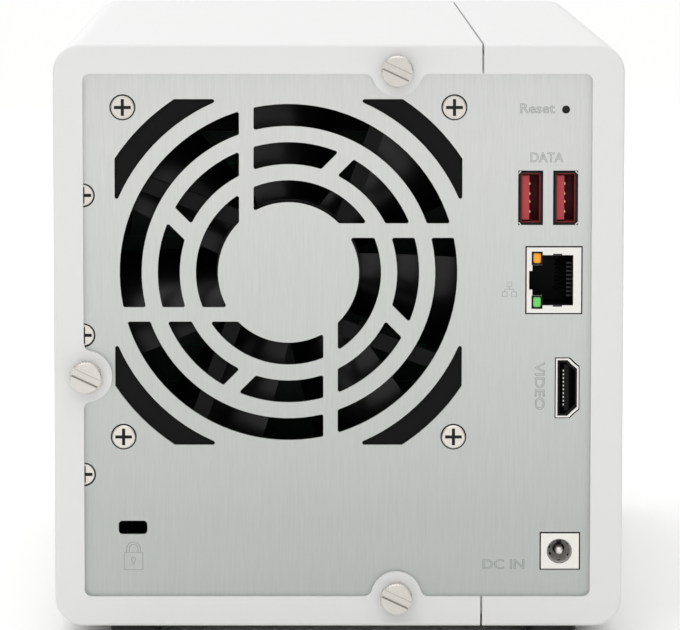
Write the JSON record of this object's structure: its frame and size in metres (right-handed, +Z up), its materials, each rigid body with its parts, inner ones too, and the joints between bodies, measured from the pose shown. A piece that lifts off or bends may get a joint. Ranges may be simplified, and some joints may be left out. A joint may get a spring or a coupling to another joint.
{
  "type": "network attached storage",
  "caption": "Desktop network storage box with upright drive trays, a removable side cover, a rear fan and a column of ports beside it.",
  "frame": {"origin": "under the middle of the whole object, on the plane the feet stand on", "axes": "+Z up; front with the trays towards -Y, rear plate with fan and ports towards +Y; +X to the right seen from the front"},
  "size_m": [0.142, 0.26, 0.15],
  "materials": {
    "white_shell": "moulded ABS, fine satin",
    "bezel_white": "moulded ABS, fine satin",
    "foot_plastic": "moulded ABS, matt",
    "foot_rubber": "matt rubber",
    "brushed_plate": "brushed",
    "sheet_steel": "zinc-plated sheet",
    "screw_nickel": "nickel plated",
    "fan_plastic": "moulded, satin",
    "fan_rotor_plastic": "moulded, glossy",
    "motor_metal": "pressed steel",
    "circuit_board": "solder mask",
    "chip_black": "epoxy package",
    "heat_sink_aluminium": "extruded",
    "brass_standoff": "turned",
    "port_nickel": "nickel-plated shell",
    "port_black": "moulded nylon",
    "port_red": "moulded nylon",
    "contact_gold": "gold flash",
    "lamp_lens": "clear lens",
    "light_guide": "clear acrylic",
    "tray_plastic": "moulded, fine spark texture",
    "lever_plastic": "moulded, satin",
    "drive_casting": "cast and milled",
    "rail_nylon": "moulded nylon",
    "button_plastic": "satin"
  },
  "bodies": {
    "chassis": {"board_shell": "white_shell", "front_bezel": "bezel_white", "shell_feet": "foot_plastic", "shell_foot_pads": "foot_rubber", "rear_plate": "brushed_plate", "chassis_tray": "sheet_steel", "drive_cage": "sheet_steel", "lock_bracket": "sheet_steel", "fan_screws": "screw_nickel", "plate_screws": "screw_nickel", "fan_frame": "fan_plastic", "fan_motor": "motor_metal", "guide_rails": "rail_nylon", "backplane": "circuit_board", "drive_connectors": "port_black", "mainboard": "circuit_board", "board_chips": "chip_black", "board_standoffs": "brass_standoff", "board_screws": "screw_nickel", "heat_sink": "heat_sink_aluminium", "memory_socket": "port_black", "memory_module": "circuit_board", "storage_card": "circuit_board", "network_shield": "port_nickel", "network_insert": "port_black", "network_lamps": "lamp_lens", "data_port_shells": "port_nickel", "data_port_tongues": "port_red", "port_contacts": "contact_gold", "video_port_shell": "port_nickel", "video_port_insert": "port_black", "power_jack_face": "port_nickel", "power_jack_body": "port_black", "power_jack_pin": "screw_nickel", "reset_switch": "port_black", "button_board": "circuit_board", "button_switches": "chip_black", "light_pipes": "light_guide"},
    "cover": {"side_cover": "white_shell", "cover_feet": "foot_plastic", "cover_foot_pads": "foot_rubber"},
    "fan_rotor": {"fan_rotor": "fan_rotor_plastic"},
    "power_button": {"power_button": "button_plastic"},
    "copy_button": {"copy_button": "button_plastic"},
    "reset_button": {"reset_button": "port_black"},
    "tray_1": {"tray_1": "tray_plastic", "drive_1": "drive_casting"},
    "tray_lever_1": {"tray_lever_1": "lever_plastic"},
    "tray_2": {"tray_2": "tray_plastic", "drive_2": "drive_casting"},
    "tray_lever_2": {"tray_lever_2": "lever_plastic"},
    "tray_3": {"tray_3": "tray_plastic", "drive_3": "drive_casting"},
    "tray_lever_3": {"tray_lever_3": "lever_plastic"},
    "thumbscrew_top": {"thumbscrew_top": "screw_nickel"},
    "thumbscrew_collar_top": {"thumbscrew_collar_top": "screw_nickel"},
    "thumbscrew_side": {"thumbscrew_side": "screw_nickel"},
    "thumbscrew_collar_side": {"thumbscrew_collar_side": "screw_nickel"},
    "thumbscrew_bottom": {"thumbscrew_bottom": "screw_nickel"},
    "thumbscrew_collar_bottom": {"thumbscrew_collar_bottom": "screw_nickel"}
  },
  "joints": [
    {"name": "cover_slide", "type": "slide", "parent": "chassis", "child": "cover", "axis": [0, 1, 0], "range_m": [0, 0.12]},
    {"name": "fan_spin", "type": "hinge", "parent": "chassis", "child": "fan_rotor", "pos_m": [0.0125, 0.111, 0.0929], "axis": [0, 1, 0], "continuous": true},
    {"name": "power_button_press", "type": "slide", "parent": "chassis", "child": "power_button", "axis": [0, 1, 0], "range_m": [0, 0.0008], "stiffness_N_per_m": 800},
    {"name": "copy_button_press", "type": "slide", "parent": "chassis", "child": "copy_button", "axis": [0, 1, 0], "range_m": [0, 0.0008], "stiffness_N_per_m": 800},
    {"name": "reset_button_press", "type": "slide", "parent": "chassis", "child": "reset_button", "axis": [0, -1, 0], "range_m": [0, 0.0003], "stiffness_N_per_m": 400},
    {"name": "tray_1_slide", "type": "slide", "parent": "chassis", "child": "tray_1", "axis": [0, -1, 0], "range_m": [0, 0.165]},
    {"name": "tray_lever_1_swing", "type": "hinge", "parent": "tray_1", "child": "tray_lever_1", "pos_m": [-0.01745, -0.1265, 0.0236], "axis": [1, 0, 0], "range_deg": [0, 60]},
    {"name": "tray_2_slide", "type": "slide", "parent": "chassis", "child": "tray_2", "axis": [0, -1, 0], "range_m": [0, 0.165]},
    {"name": "tray_lever_2_swing", "type": "hinge", "parent": "tray_2", "child": "tray_lever_2", "pos_m": [0.01585, -0.1265, 0.0236], "axis": [1, 0, 0], "range_deg": [0, 60]},
    {"name": "tray_3_slide", "type": "slide", "parent": "chassis", "child": "tray_3", "axis": [0, -1, 0], "range_m": [0, 0.165]},
    {"name": "tray_lever_3_swing", "type": "hinge", "parent": "tray_3", "child": "tray_lever_3", "pos_m": [0.04915, -0.1265, 0.0236], "axis": [1, 0, 0], "range_deg": [0, 60]},
    {"name": "thumbscrew_top_travel", "type": "slide", "parent": "cover", "child": "thumbscrew_collar_top", "axis": [0, 1, 0], "range_m": [0, 0.003]},
    {"name": "thumbscrew_top_turn", "type": "hinge", "parent": "thumbscrew_collar_top", "child": "thumbscrew_top", "pos_m": [-0.0145, 0.126, 0.1433], "axis": [0, 1, 0], "range_deg": [0, 2161]},
    {"name": "thumbscrew_side_travel", "type": "slide", "parent": "cover", "child": "thumbscrew_collar_side", "axis": [0, 1, 0], "range_m": [0, 0.003]},
    {"name": "thumbscrew_side_turn", "type": "hinge", "parent": "thumbscrew_collar_side", "child": "thumbscrew_side", "pos_m": [0.0629, 0.126, 0.067], "axis": [0, 1, 0], "range_deg": [0, 2161]},
    {"name": "thumbscrew_bottom_travel", "type": "slide", "parent": "cover", "child": "thumbscrew_collar_bottom", "axis": [0, 1, 0], "range_m": [0, 0.003]},
    {"name": "thumbscrew_bottom_turn", "type": "hinge", "parent": "thumbscrew_collar_bottom", "child": "thumbscrew_bottom", "pos_m": [-0.0145, 0.126, 0.0113], "axis": [0, 1, 0], "range_deg": [0, 2161]}
  ],
  "couplings": [
    {"joint": "thumbscrew_top_turn", "follows": "thumbscrew_top_travel", "rad_per_m": 12566},
    {"joint": "thumbscrew_side_turn", "follows": "thumbscrew_side_travel", "rad_per_m": 12566},
    {"joint": "thumbscrew_bottom_turn", "follows": "thumbscrew_bottom_travel", "rad_per_m": 12566}
  ]
}
